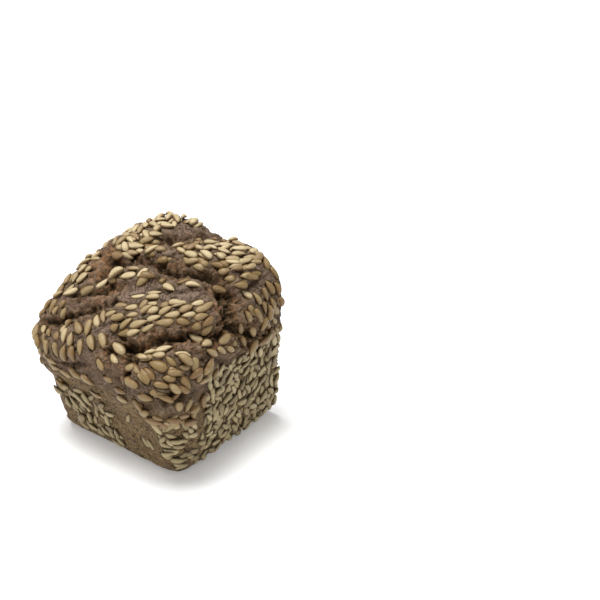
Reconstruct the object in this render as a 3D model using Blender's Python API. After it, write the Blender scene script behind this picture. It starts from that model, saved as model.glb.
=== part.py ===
# Half of a rye loaf baked in a tin and rolled in sunflower kernels, cut straight across its middle.
# +Z is up, the right wall faces +X, the heel faces -Y and the cut face +Y.
# The origin is the middle of the underside. Lengths are in metres.

import math

import bmesh
import bpy
import numpy as np
from mathutils import Matrix, Vector

MM = 0.001

# The loaf's own sizes
HALF_WIDTH = 49 * MM  # half the width of the underside
LENGTH = 83.5 * MM  # from the cut face to the heel, along the underside
RIM = 63.5 * MM  # height of the tin's rim
CROWN = 110 * MM  # height of the crown at the cut face
WALL_LEAN = 0.067  # how far a side wall leans out for each metre of height
HEEL_LEAN = 0.178  # the same for the heel
DOME_POWER = 3.4  # how square the dome is in section: 2 is an ellipse
WALL_POWER = 10.0  # how square the foot of the section is
CORNER_RADIUS = 15 * MM  # upright corner between a wall and the heel
SHOULDER_RADIUS = 35 * MM  # the same over the dome
FOOT_RADIUS = 9 * MM  # edge between the underside and the heel
CROWN_FALL = 0.45  # share of the dome's height lost by the heel
UNDERSIDE_TRIM = 0.8 * MM  # cut off the underside to leave it flat

# The dough rose over the tin and bulged out above this height
LEDGE = {"heel": 41 * MM, "right": 56 * MM}
BULGE = {"heel": 2.6 * MM, "right": 1 * MM}
LEDGE_RISE = 8 * MM  # height over which the bulge comes out

# The crust's relief
PLATE_RISE = 2.8 * MM  # plates of crust that stand up, with the kernels on them
PLATE_REACH = 1.5  # where a plate ends, in radii
PLATE_EDGE = 0.7  # how wide its edge is, in radii
SPLIT_SOFTNESS = 0.72  # share of a split's width that its edge takes
RIPPLE = 0.9 * MM  # unevenness of the baked dough
RIPPLE_CELL = 17 * MM
WARP = 2.4 * MM  # how far the outlines of plates and splits wander
WARP_CELL = 8 * MM

# Mesh and kernels
PITCH = {"dome": 4.2 * MM, "wall": 9 * MM, "foot": 4 * MM, "underside": 16 * MM}  # between mesh columns
FOOT_START = 0.78  # share of the half width where the foot's round begins
FOOT_HEIGHT = 14 * MM
ROWS = 27
HEEL_ROWS = 5  # rows of the flat middle of the heel
KERNEL_COUNT = 144
KERNEL_LENGTHS = (10.5 * MM, 7.6 * MM)  # largest first
KERNEL_SPACING = 8.2 * MM
KERNEL_WIDTH = 0.52  # as a share of its length
KERNEL_THICKNESS = 0.34
KERNEL_SIDES = 5
KERNEL_STATIONS = ((0.14, 0.74), (0.46, 1.0), (0.8, 0.56))  # place along the kernel, share of its width
KERNEL_TRIES = 9000
SEED = 11

# Plates that carry kernels: radius, share of kernels, and a chain of points.
# A point is how far right of the middle, back from the cut face and up it is, in millimetres.
PLATES = {
    "left crown": (11, 1.0, ((-33, 33, 104), (-27, 20, 107), (-19, 5, 110), (-8, 3, 110))),
    "left crown tip": (5, 0.8, ((-22, 41, 104), (-18, 37, 105))),
    "left shoulder": (9, 0.9, ((-44, 18, 101), (-45, 38, 97))),
    "left side": (9, 0.8, ((-57, 4, 76), (-58, 30, 72), (-56, 48, 74))),
    "crown middle": (5, 0.5, ((-6, 34, 107), (2, 27, 108))),
    "right crown": (9, 1.0, ((6, 22, 108), (21, 18, 108), (32, 9, 107), (41, 2, 104))),
    "right crown edge": (6, 0.8, ((38, 30, 103), (41, 15, 103))),
    "left brow": (9, 0.9, ((-41, 50, 96), (-36, 66, 93), (-41, 75, 86))),
    "brow strip": (5, 0.8, ((-14, 60, 99), (-1, 51, 102))),
    "left end": (7, 0.8, ((-52, 81, 72), (-38, 82, 82))),
    "left heel": (7, 0.9, ((-49, 88, 68), (-37, 95, 68))),
    "heel top": (8, 0.8, ((-15, 89, 79), (-5, 83, 84))),
    "front pad": (10, 1.0, ((1, 75, 90), (18, 69, 94), (34, 61, 96), (46, 53, 92))),
    "front pad edge": (7, 1.0, ((23, 80, 86), (29, 70, 92), (46, 60, 91))),
    "pair": (4, 0.8, ((18, 53, 101), (31, 45, 102))),
    "right brow": (8, 0.8, ((49, 0, 94), (52, 9, 88), (53, 28, 85))),
    "right brow edge": (7, 0.8, ((54, 19, 79), (54, 29, 76))),
    "front row": (6, 0.8, ((50, 68, 83), (54, 43, 73))),
    "front corner": (9, 1.0, ((32, 94, 72), (42, 90, 72), (50, 80, 72))),
    "corner knot": (6, 0.9, ((53, 75, 72), (54, 66, 68))),
    "heel rim": (7, 0.7, ((-34, 97, 66), (-19, 96, 72), (-3, 93, 75), (20, 93, 75))),
    "under the rim": (5, 0.6, ((-29, 96, 57), (-13, 96, 56), (16, 97, 67))),
    "low corner": (8, 1.0, ((43, 93, 48), (52, 83, 49))),
    "corner foot": (9, 0.8, ((39, 89, 29), (48, 83, 29), (46, 80, 12))),
    "heel foot": (9, 0.8, ((-36, 88, 34), (-19, 89, 29), (-4, 88, 22))),
    "heel edge": (7, 0.7, ((-29, 87, 14), (-10, 86, 12), (8, 86, 10))),
}

# Splits where the crust tore open in the oven: depth and width in millimetres, and a chain of points.
SPLITS = {
    "back": (4.0, 4.5, ((1, 20, 109), (8, 11, 110), (14, 1, 110))),
    "crown": (4.5, 4.6, ((-25, 49, 102), (-18, 46, 104), (-18, 35, 106), (-9, 22, 109), (1, 20, 109))),
    "main": (4.8, 4.6, ((-25, 50, 102), (-2, 45, 104), (17, 40, 105), (30, 34, 105), (41, 35, 100))),
    "main's end": (4.4, 4.6, ((41, 35, 100), (48, 38, 94), (52, 44, 85), (54, 38, 79), (54, 28, 72))),
    "left tear": (1.8, 6.5, ((-33, 44, 102), (-27, 53, 101), (-18, 66, 97))),
    "under the brow": (3.8, 3.4, ((-34, 74, 90), (-25, 73, 92), (-17, 68, 96))),
    "brow": (4.2, 3.8, ((-44, 89, 72), (-31, 87, 79), (-22, 82, 84), (-15, 77, 89))),
    "brow's end": (2.4, 3.0, ((-10, 79, 87), (-4, 73, 91))),
    "front": (4.8, 4.8, ((12, 92, 78), (21, 90, 79), (31, 84, 83), (36, 77, 87), (47, 66, 88))),
    "front's end": (4.8, 4.8, ((47, 66, 88), (51, 60, 84), (53, 49, 82))),
    "pad's edge": (2.8, 3.6, ((45, 42, 96), (50, 47, 91))),
    "front drop": (3.0, 4.0, ((22, 90, 78), (27, 94, 72))),
    "pit": (2.6, 4.0, ((48, 92, 63), (53, 85, 62))),
    "left shoulder": (3.4, 4.6, ((-44, 1, 104), (-52, 14, 94), (-54, 34, 86), (-54, 56, 82))),
    "left wall": (2.0, 4.0, ((-57, 2, 64), (-57, 30, 60), (-55, 62, 60))),
}

COLOURS = {
    "crust": ((0.142, 0.082, 0.052, 1), 0.75),
    "crumb": ((0.085, 0.057, 0.036, 1), 0.9),
    "kernel": ((0.47, 0.37, 0.19, 1), 0.55),
}


def clear_scene():
    for obj in list(bpy.data.objects):
        bpy.data.objects.remove(obj)


def new_material(name):
    colour, roughness = COLOURS[name]
    material = bpy.data.materials.new(name)
    material.use_nodes = True
    shader = material.node_tree.nodes["Principled BSDF"]
    shader.inputs["Base Color"].default_value = colour
    shader.inputs["Roughness"].default_value = roughness
    shader.inputs["Metallic"].default_value = 0
    return material


def smooth(x):
    x = np.clip(x, 0, 1)
    return x * x * (3 - 2 * x)


def lattice_noise(points, cell, seed):
    """Seeded values on a cubic lattice, blended smoothly between its points, from -1 to 1."""
    at = points / cell
    corner = np.floor(at).astype(np.int64)
    blend = smooth(at - corner)
    total = np.zeros(points.shape[:-1])
    for step in np.ndindex(2, 2, 2):
        near = corner + np.array(step)
        key = near[..., 0] * 73856093 ^ near[..., 1] * 19349663
        key = key ^ near[..., 2] * 83492791 ^ seed * 2654435761
        key = (key & 0xFFFFFFFF) * 2246822519 & 0xFFFFFFFF
        key = (key ^ key >> 15) * 3266489917 & 0xFFFFFFFF
        value = (key ^ key >> 16 & 0xFFFF) % 65536 / 65535
        total += value * np.prod(np.where(step, blend, 1 - blend), axis=-1)
    return total * 2 - 1


def section_point(turn):
    """Outline of the section as two superellipse halves that meet at the rim's height."""
    angle = 2 * math.pi * turn - math.pi / 2
    across, up = np.cos(angle), np.sin(angle)
    power = np.where(up < 0, WALL_POWER, DOME_POWER)
    reach = (np.abs(across) ** power + np.abs(up) ** power) ** (-1 / power)
    return reach * across * HALF_WIDTH, RIM + reach * up * np.where(up < 0, RIM, CROWN - RIM)


def section_turns():
    """Turns of the section's columns, set apart by the pitch of the zone that they are in."""
    fine = np.linspace(0, 1, 4001)
    x, z = section_point(fine)
    aside = np.abs(x) > FOOT_START * HALF_WIDTH
    zones = [z > RIM, aside & (z < FOOT_HEIGHT), aside]
    pitch = np.select(zones, [PITCH["dome"], PITCH["foot"], PITCH["wall"]], PITCH["underside"])
    step = np.hypot(np.diff(x), np.diff(z)) / pitch[1:]
    run = np.concatenate([[0], np.cumsum(step)])
    columns = int(round(run[-1]))
    return np.interp((np.arange(columns) + 0.5) * run[-1] / columns, run, fine)


def loaf_skin():
    """The section carried back from the cut, round the corner of its radius and in over the heel."""
    x0, z0 = section_point(section_turns())
    pole = RIM * 0.8
    reach = np.hypot(x0, z0 - pole)
    out_x, out_z = x0 / reach, (z0 - pole) / reach
    dome = np.sin(np.clip((z0 - RIM) / (CROWN - RIM), 0, 1) * math.pi / 2) ** 0.8
    foot = np.clip(1 - z0 / (RIM * 0.25), 0, 1) * (np.abs(out_x) < 0.7)
    radius = CORNER_RADIUS + (SHOULDER_RADIUS - CORNER_RADIUS) * dome
    radius += (FOOT_RADIUS - CORNER_RADIUS) * foot
    run = LENGTH - radius
    arc = math.pi / 2 * radius
    whole = run + arc + 0.45 * (reach - radius)
    path = np.linspace(0, 1, ROWS - HEEL_ROWS)[:, None] * whole
    rest = np.linspace(0, 1, HEEL_ROWS + 1)[1:, None] * (0.55 * (reach - radius)) + whole
    path = np.vstack([path, rest])
    bend = np.clip((path - run) / radius, 0, math.pi / 2)
    back = np.where(path < run, path, run + radius * np.sin(bend))
    inward = np.where(path < run + arc, radius - radius * np.cos(bend), radius + path - run - arc)
    return np.stack([out_x * (reach - inward), -back, pole + out_z * (reach - inward)], axis=-1)


def leaned(skin):
    """Walls and heel lean out to the rim, bulge over it, and the dome falls towards the heel."""
    x, y, z = skin[..., 0], skin[..., 1], skin[..., 2]
    lean = np.minimum(z, RIM)
    fade = 1 - smooth((z - 75 * MM) / (35 * MM))
    heel = BULGE["heel"] * smooth((z - LEDGE["heel"]) / LEDGE_RISE) * fade
    right = BULGE["right"] * smooth((z - LEDGE["right"]) / LEDGE_RISE) * fade
    x = x * (1 + (WALL_LEAN * lean + np.where(x < 0, heel, right)) / HALF_WIDTH)
    y = y * (1 + (HEEL_LEAN * lean + heel) / LENGTH)
    fall = 1 - CROWN_FALL * np.clip(-y / LENGTH, 0, 1.3) ** 2
    z = np.where(z > RIM, RIM + (z - RIM) * fall, z)
    return np.stack([x, y, z], axis=-1)


def outward(skin):
    """Unit normals of the skin, from its neighbours' differences."""
    round_step = np.roll(skin, -1, axis=1) - np.roll(skin, 1, axis=1)
    back_step = np.gradient(skin, axis=0)
    normal = np.cross(round_step, back_step)
    normal /= np.linalg.norm(normal, axis=-1, keepdims=True) + 1e-12
    return normal


def chain_distance(points, chain):
    """Distance from each point to a chain of straight links, given as right, back and up in millimetres."""
    places = np.array(chain, float) * (MM, -MM, MM)
    nearest = np.full(points.shape[:-1], np.inf)
    for start, end in zip(places[:-1], places[1:]):
        link = end - start
        along = np.clip((points - start) @ link / (link @ link), 0, 1)
        gap = np.linalg.norm(points - start - along[..., None] * link, axis=-1)
        nearest = np.minimum(nearest, gap)
    return nearest


def wandered(points):
    shift = [lattice_noise(points, WARP_CELL, SEED + axis) for axis in range(3)]
    return points + WARP * np.stack(shift, axis=-1)


def relief(points):
    """How far the crust stands out: plates up, splits down and a slow ripple, all fading down the walls."""
    moved = wandered(points)
    plate = np.zeros(points.shape[:-1])
    for radius, _, chain in PLATES.values():
        gap = chain_distance(moved, chain) / (radius * MM)
        plate = np.maximum(plate, smooth((PLATE_REACH - gap) / PLATE_EDGE))
    height = PLATE_RISE * plate
    for depth, width, chain in SPLITS.values():
        gap = chain_distance(moved, chain) / (width * MM)
        height -= depth * MM * np.exp(-((gap / SPLIT_SOFTNESS) ** 2) / 2)
    height += RIPPLE * lattice_noise(points, RIPPLE_CELL, SEED)
    return height * smooth((points[..., 2] - 38 * MM) / (20 * MM))


def kernel_share(points):
    """Share of the crust that kernels cover: full on the plates and the walls, little elsewhere."""
    moved = wandered(points)
    share = np.full(points.shape[:-1], 0.06)
    for radius, part, chain in PLATES.values():
        share = np.maximum(share, part * smooth(1.7 - chain_distance(moved, chain) / (radius * MM)))
    height = points[..., 2]
    on_wall = (np.abs(points[..., 0]) > HALF_WIDTH * 0.96) & (height < RIM)
    on_wall &= points[..., 1] > -0.82 * LENGTH
    share = np.where(on_wall, 0.9, share)
    return np.where(height < 5 * MM, 0, share)


def loaf_body(skin, materials):
    """The skin closed by a flat cap on the cut face and a pole on the heel."""
    rows, columns = skin.shape[:2]
    cut_middle = Vector((0, 0, RIM * 0.9))
    heel_pole = Vector(skin[-1].mean(axis=0))
    rings = skin[:-1]
    points = [Vector(p) for p in rings.reshape(-1, 3)] + [cut_middle, heel_pole]
    faces, slots = [], []
    for row in range(rows - 2):
        for column in range(columns):
            a, b = row * columns + column, row * columns + (column + 1) % columns
            faces.append((a, b, b + columns, a + columns))
            slots.append(0)
    last = (rows - 2) * columns
    for column in range(columns):
        following = (column + 1) % columns
        faces.append((following, column, len(points) - 2))
        slots.append(1)
        faces.append((last + column, last + following, len(points) - 1))
        slots.append(0)
    mesh = bpy.data.meshes.new("loaf")
    mesh.from_pydata(points, [], faces)
    for material in materials:
        mesh.materials.append(material)
    mesh.polygons.foreach_set("material_index", slots)
    shape = bmesh.new()
    shape.from_mesh(mesh)
    bmesh.ops.triangulate(shape, faces=shape.faces)
    bmesh.ops.recalc_face_normals(shape, faces=shape.faces)
    shape.to_mesh(mesh)
    shape.free()
    body = bpy.data.objects.new("loaf", mesh)
    bpy.context.scene.collection.objects.link(body)
    return body


def kernel_mesh(length, material):
    """A kernel as rings of a flattened teardrop, blunt at one end and pointed at the other."""
    points = [(-length / 2, 0, 0)]
    for station, share in KERNEL_STATIONS:
        for side in range(KERNEL_SIDES):
            angle = 2 * math.pi * side / KERNEL_SIDES + math.pi / 2
            across = share * KERNEL_WIDTH * length / 2 * math.cos(angle)
            up = share * KERNEL_THICKNESS * length / 2 * math.sin(angle)
            points.append(((station - 0.5) * length, across, up))
    points.append((length / 2, 0, 0))
    faces = []
    final = len(points) - 1
    last_ring = final - KERNEL_SIDES
    for side in range(KERNEL_SIDES):
        following = (side + 1) % KERNEL_SIDES
        faces.append((0, 1 + following, 1 + side))
        for ring in range(len(KERNEL_STATIONS) - 1):
            start = 1 + ring * KERNEL_SIDES
            faces.append((start + side, start + following, start + following + KERNEL_SIDES))
            faces.append((start + side, start + following + KERNEL_SIDES, start + side + KERNEL_SIDES))
        faces.append((final, last_ring + side, last_ring + following))
    mesh = bpy.data.meshes.new("kernel")
    mesh.from_pydata(points, [], faces)
    mesh.materials.append(material)
    shape = bmesh.new()
    shape.from_mesh(mesh)
    bmesh.ops.recalc_face_normals(shape, faces=shape.faces)
    shape.to_mesh(mesh)
    shape.free()
    return mesh


def kernel_spots(skin, normals):
    """Seeded draws over the skin, kept by the share of kernels there and by the distance between them."""
    draw = np.random.default_rng(SEED)
    columns = skin.shape[1]
    across = np.roll(skin, -1, axis=1)[:-1] - skin[:-1]
    back = skin[1:] - skin[:-1]
    area = np.linalg.norm(np.cross(across, back), axis=-1).ravel()
    cells = draw.choice(area.size, KERNEL_TRIES, p=area / area.sum())
    row, column = np.divmod(cells, columns)
    along, aside = draw.random((2, KERNEL_TRIES, 1))
    following = (column + 1) % columns

    def blend(grid):
        near = grid[row, column] * (1 - aside) + grid[row, following] * aside
        far = grid[row + 1, column] * (1 - aside) + grid[row + 1, following] * aside
        return near * (1 - along) + far * along

    places, facing = blend(skin), blend(normals)
    wanted = draw.random(KERNEL_TRIES) < kernel_share(places)
    clear_of_cut = places[:, 1] < -6 * MM
    spots = []
    for place, normal in zip(places[wanted & clear_of_cut], facing[wanted & clear_of_cut]):
        if all(np.linalg.norm(place - other) > KERNEL_SPACING for other, _ in spots):
            spots.append((place, normal))
        if len(spots) == KERNEL_COUNT:
            break
    return spots


def kernel_place(place, normal, draw, length):
    """Lies along the crust, upright on the walls and mostly crosswise on the dome, and sunk a little."""
    normal = Vector(normal).normalized()
    downhill = Vector((0, -0.6, -1))
    downhill = (downhill - downhill.dot(normal) * normal).normalized()
    level = normal.cross(downhill)
    steep = place[2] < 80 * MM
    turn = math.radians(draw.normal(90 if steep else 12, 34))
    long_way = level * math.cos(turn) + downhill * math.sin(turn)
    side_way = normal.cross(long_way)
    pressed = place[2] < LEDGE["right"] and place[0] > 0 or place[2] < LEDGE["heel"]
    sink = KERNEL_THICKNESS * length / 2 * (0.35 if pressed else 0.05)
    centre = Vector(place) - normal * sink
    frame = Matrix((long_way, side_way, normal)).transposed()
    return Matrix.Translation(centre) @ frame.to_4x4()


def scattered_kernels(skin, normals, material):
    draw = np.random.default_rng(SEED + 1)
    kernels = bpy.data.collections.new("kernels")
    bpy.context.scene.collection.children.link(kernels)
    spots = kernel_spots(skin, normals)
    for index, (place, normal) in enumerate(spots):
        share = index / len(spots)
        length = KERNEL_LENGTHS[0] + (KERNEL_LENGTHS[1] - KERNEL_LENGTHS[0]) * share
        kernel = bpy.data.objects.new("kernel", kernel_mesh(length, material))
        kernel.matrix_world = kernel_place(place, normal, draw, length)
        kernels.objects.link(kernel)
    return kernels


def fused(body, kernels):
    """One union of the body and its kernels, applied, with the kernels' own objects removed."""
    union = body.modifiers.new("kernels", "BOOLEAN")
    union.operation = "UNION"
    union.operand_type = "COLLECTION"
    union.collection = kernels
    union.solver = "EXACT"
    union.material_mode = "TRANSFER"
    bpy.context.view_layer.update()
    graph = bpy.context.evaluated_depsgraph_get()
    joined = bpy.data.meshes.new_from_object(body.evaluated_get(graph))
    body.modifiers.clear()
    body.data = joined
    for kernel in list(kernels.objects):
        bpy.data.objects.remove(kernel)
    bpy.data.collections.remove(kernels)


def largest_shell(shape):
    """Faces of the largest connected piece, so that scraps and sealed hollows can be dropped."""
    left = set(shape.faces)
    largest = set()
    while left:
        shell = {left.pop()}
        front = list(shell)
        while front:
            face = front.pop()
            for edge in face.edges:
                for other in edge.link_faces:
                    if other not in shell:
                        shell.add(other)
                        front.append(other)
        left -= shell
        if len(shell) > len(largest):
            largest = shell
    return largest


def finish_body(body):
    """Triangles only, no scraps, hollows or slivers, and the origin under the middle."""
    shape = bmesh.new()
    shape.from_mesh(body.data)
    bmesh.ops.triangulate(shape, faces=shape.faces)
    kept = largest_shell(shape)
    bmesh.ops.delete(shape, geom=[face for face in shape.faces if face not in kept], context="FACES")
    bmesh.ops.dissolve_degenerate(shape, edges=shape.edges, dist=0.02 * MM)
    bmesh.ops.triangulate(shape, faces=shape.faces)
    places = np.array([vertex.co for vertex in shape.verts])
    middle = (places.min(axis=0) + places.max(axis=0)) / 2
    bmesh.ops.translate(shape, verts=shape.verts, vec=(-middle[0], -middle[1], -places[:, 2].min()))
    shape.to_mesh(body.data)
    shape.free()
    body.data.shade_smooth()
    body.data.set_sharp_from_angle(angle=math.radians(40))


def build_loaf():
    skin = leaned(loaf_skin())
    normals = outward(skin)
    crust = skin + normals * relief(skin)[..., None]
    crust[0, :, 1] = 0
    crust[..., 1] = np.minimum(crust[..., 1], 0)
    crust[..., 2] = np.maximum(crust[..., 2], UNDERSIDE_TRIM)
    body = loaf_body(crust, [new_material("crust"), new_material("crumb")])
    kernels = scattered_kernels(crust, normals, new_material("kernel"))
    fused(body, kernels)
    finish_body(body)


clear_scene()
build_loaf()
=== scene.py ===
import math

import bpy
import numpy as np
from mathutils import Matrix, Vector


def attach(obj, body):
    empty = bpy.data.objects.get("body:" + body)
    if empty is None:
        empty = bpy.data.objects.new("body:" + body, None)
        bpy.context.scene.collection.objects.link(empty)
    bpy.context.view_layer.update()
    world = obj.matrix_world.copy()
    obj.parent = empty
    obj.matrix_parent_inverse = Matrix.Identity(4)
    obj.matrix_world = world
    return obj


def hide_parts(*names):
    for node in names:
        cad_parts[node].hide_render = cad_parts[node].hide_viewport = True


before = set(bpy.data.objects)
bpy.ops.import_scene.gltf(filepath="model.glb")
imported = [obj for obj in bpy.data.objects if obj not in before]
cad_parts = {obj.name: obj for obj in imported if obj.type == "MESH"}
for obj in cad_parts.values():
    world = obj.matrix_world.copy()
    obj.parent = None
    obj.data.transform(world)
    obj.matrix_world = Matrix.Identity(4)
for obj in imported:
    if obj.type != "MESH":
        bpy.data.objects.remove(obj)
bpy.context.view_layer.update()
mm = 0.001
seed = 11

# Sizes of the loaf, as its solid has them apart from the heel's ledge, which lies 1.5 mm lower here.
# The heel closes at poleHeight and the cut face's rings at middleHeight, shares of the rim's height.
loaf = dict(
    halfWidth=49 * mm, length=83.5 * mm, rim=63.5 * mm, crown=110 * mm,
    wallLean=0.067, heelLean=0.178, domePower=3.4, wallPower=10.0,
    cornerRadius=15 * mm, shoulderRadius=35 * mm, footRadius=9 * mm,
    crownFall=0.45, undersideTrim=0.8 * mm, poleHeight=0.8, middleHeight=0.9,
    ledge=dict(heel=39.5 * mm, right=56 * mm), bulge=dict(heel=2.6 * mm, right=1 * mm), ledgeRise=8 * mm,
    bulgeTop=75 * mm, bulgeFade=35 * mm,
)
faceMiddle = np.array([0, 0, loaf["rim"] * loaf["middleHeight"]])

# Where the skin's zones begin: heights in metres, and shares of the half width or the length
zoneEdges = dict(
    aside=0.78, footTop=14 * mm, relief=38 * mm, reliefReach=20 * mm, crust=46 * mm, crustReach=14 * mm,
    heel=0.8, heelKernels=40 * mm, wallKernels=2 * mm, onWall=0.96,
)

# Plates of crust that carry kernels: radius in mm and chain of points.
# A point is how far right of the middle, back from the cut face and up it is, in mm.
plates = {
    "left crown": (10, ((-29, 33, 104), (-25, 20, 107), (-19, 5, 110), (-8, 3, 110))),
    "left crown tip": (5, ((-22, 41, 104), (-18, 37, 105))),
    "left shoulder": (7, ((-44, 14, 101), (-44, 38, 97))),
    "left side": (9, ((-57, 4, 76), (-58, 30, 72), (-56, 48, 74))),
    "crown middle": (5, ((-6, 34, 107), (2, 27, 108))),
    "right crown": (9, ((6, 22, 108), (21, 18, 108), (32, 9, 107), (41, 2, 104))),
    "right crown edge": (6, ((38, 30, 103), (41, 15, 103))),
    "left brow": (9, ((-41, 50, 96), (-36, 66, 93), (-41, 75, 86))),
    "brow strip": (5, ((-14, 60, 99), (-1, 51, 102))),
    "left end": (7, ((-52, 81, 72), (-38, 82, 82))),
    "left heel": (7, ((-49, 88, 68), (-37, 95, 68))),
    "heel top": (8, ((-15, 89, 79), (-5, 83, 84))),
    "front pad": (10, ((1, 75, 90), (18, 69, 94), (34, 61, 96), (46, 53, 92))),
    "front pad edge": (7, ((23, 80, 86), (29, 70, 92), (46, 60, 91))),
    "pair": (4, ((18, 53, 101), (31, 45, 102))),
    "right brow": (8, ((49, 0, 94), (52, 9, 88), (53, 28, 85))),
    "right brow edge": (7, ((54, 19, 79), (54, 29, 76))),
    "front row": (6, ((50, 68, 83), (54, 43, 73))),
    "front corner": (9, ((32, 94, 72), (42, 90, 72), (50, 80, 72))),
    "corner knot": (6, ((53, 75, 72), (54, 66, 68))),
    "heel rim": (7, ((-34, 97, 66), (-19, 96, 72), (-3, 93, 75), (20, 93, 75))),
    "under the rim": (5, ((-29, 96, 57), (-13, 96, 56), (16, 97, 67))),
    "low corner": (8, ((43, 93, 48), (52, 83, 49))),
    "corner foot": (9, ((39, 89, 29), (48, 83, 29), (46, 80, 12))),
    "heel foot": (9, ((-36, 88, 34), (-19, 89, 29), (-4, 88, 22))),
    "heel edge": (7, ((-29, 87, 14), (-10, 86, 12), (8, 86, 10))),
}

# Splits where the crust tore open: depth and width in mm, how orange the tear is, chain of points
splits = {
    "back": (4.0, 4.5, 0.2, ((1, 20, 109), (8, 11, 110), (14, 1, 110))),
    "crown": (4.5, 4.6, 0.4, ((-25, 49, 102), (-18, 46, 104), (-18, 35, 106), (-9, 22, 109), (1, 20, 109))),
    "main": (4.8, 4.6, 0.5, ((-25, 50, 102), (-2, 45, 104), (17, 40, 105), (30, 34, 105), (41, 35, 100))),
    "main's end": (4.4, 4.6, 0.7, ((41, 35, 100), (48, 38, 94), (52, 44, 85), (54, 38, 79), (54, 28, 72))),
    "left tear": (1.8, 6.5, 1.0, ((-33, 44, 102), (-27, 53, 101), (-18, 66, 97))),
    "under the brow": (3.8, 3.4, 0.2, ((-34, 74, 90), (-25, 73, 92), (-17, 68, 96))),
    "brow": (4.2, 3.8, 0.4, ((-44, 89, 72), (-31, 87, 79), (-22, 82, 84), (-15, 77, 89))),
    "brow's end": (2.4, 3.0, 0.3, ((-10, 79, 87), (-4, 73, 91))),
    "front": (3.8, 4.4, 0.8, ((12, 92, 78), (21, 90, 79), (31, 84, 83), (36, 77, 87), (47, 66, 88))),
    "front's end": (4.2, 4.4, 0.8, ((47, 66, 88), (51, 60, 84), (53, 49, 82))),
    "pad's edge": (2.8, 3.6, 1.0, ((45, 42, 96), (50, 47, 91))),
    "front drop": (3.0, 4.0, 0.4, ((22, 90, 78), (27, 94, 72))),
    "pit": (2.6, 4.0, 0.0, ((48, 92, 63), (53, 85, 62))),
    "left shoulder": (3.4, 4.6, 0.6, ((-44, 1, 104), (-52, 14, 94), (-54, 34, 86), (-54, 56, 82))),
    "left wall": (2.0, 4.0, 0.5, ((-57, 2, 64), (-57, 30, 60), (-55, 62, 60))),
}

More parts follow.
